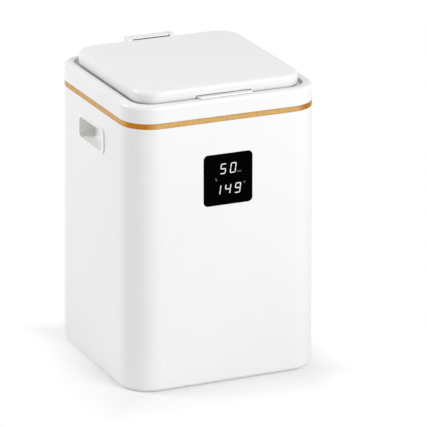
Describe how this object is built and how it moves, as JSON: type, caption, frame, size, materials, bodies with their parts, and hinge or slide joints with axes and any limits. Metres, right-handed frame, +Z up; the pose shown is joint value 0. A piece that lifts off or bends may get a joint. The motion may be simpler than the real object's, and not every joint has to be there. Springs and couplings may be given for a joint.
{
  "type": "towel warmer bucket",
  "caption": "Tall square towel warmer bucket with rounded corners, a hinged lid with a lift tab, side hand pockets, a metallic band and a touch display.",
  "frame": {"origin": "on the floor, under the middle of the body", "axes": "+Z up, the display faces -Y, the hand pockets are on the -X and +X sides"},
  "size_m": [0.265, 0.2584, 0.3925],
  "materials": {
    "shell_white": "fine satin moulded ABS",
    "lid_white": "fine satin moulded ABS",
    "gold": "satin plated",
    "pocket_grey": "fine matt moulded",
    "display_black": "black glossy printed glass",
    "bucket_metal": "brushed, clear coated",
    "steel": "bright zinc plated",
    "rubber": "matt",
    "silicone": "translucent matt silicone",
    "heater_foil": "foil laminate",
    "insulation": "felted glass fibre",
    "inner_plastic": "moulded, matt",
    "circuit_board": "solder mask",
    "component_blue": "moulded, matt",
    "component_yellow": "moulded, matt",
    "component_green": "moulded, matt",
    "gland_black": "moulded nylon",
    "led_white": "translucent diffuser"
  },
  "bodies": {
    "body": {"outer_shell": "shell_white", "base_tray": "shell_white", "rubber_feet": "rubber", "base_screws": "steel", "cord_gland": "gland_black", "gland_nut": "gland_black", "gold_band": "gold", "top_rim": "shell_white", "hinge_pin": "steel", "inner_bucket": "bucket_metal", "heater_wrap": "heater_foil", "insulation_jacket": "insulation", "bottom_heater": "steel", "thermostat": "inner_plastic", "thermal_fuse": "steel", "ntc_sensor": "steel", "bucket_stand": "inner_plastic", "stand_screws": "steel", "power_board": "circuit_board", "board_screws": "steel", "relay": "component_blue", "capacitor": "component_yellow", "choke": "inner_plastic", "terminal_block": "component_green", "display_lens": "display_black", "display_frame": "inner_plastic", "display_board": "circuit_board", "display_screws": "steel", "led_module": "led_white", "touch_springs": "steel", "handle_cup_left": "pocket_grey", "handle_cup_right": "pocket_grey"},
    "lid": {"lid_cover": "lid_white", "lid_liner": "lid_white", "lid_seal": "silicone", "lid_insulation": "insulation", "lid_screws": "steel", "lift_tab": "lid_white", "lid_arm": "lid_white"}
  },
  "joints": [
    {"name": "lid_hinge", "type": "hinge", "parent": "body", "child": "lid", "pos_m": [0, 0.123, 0.38574], "axis": [-1, 0, 0], "range_deg": [0, 100]}
  ]
}
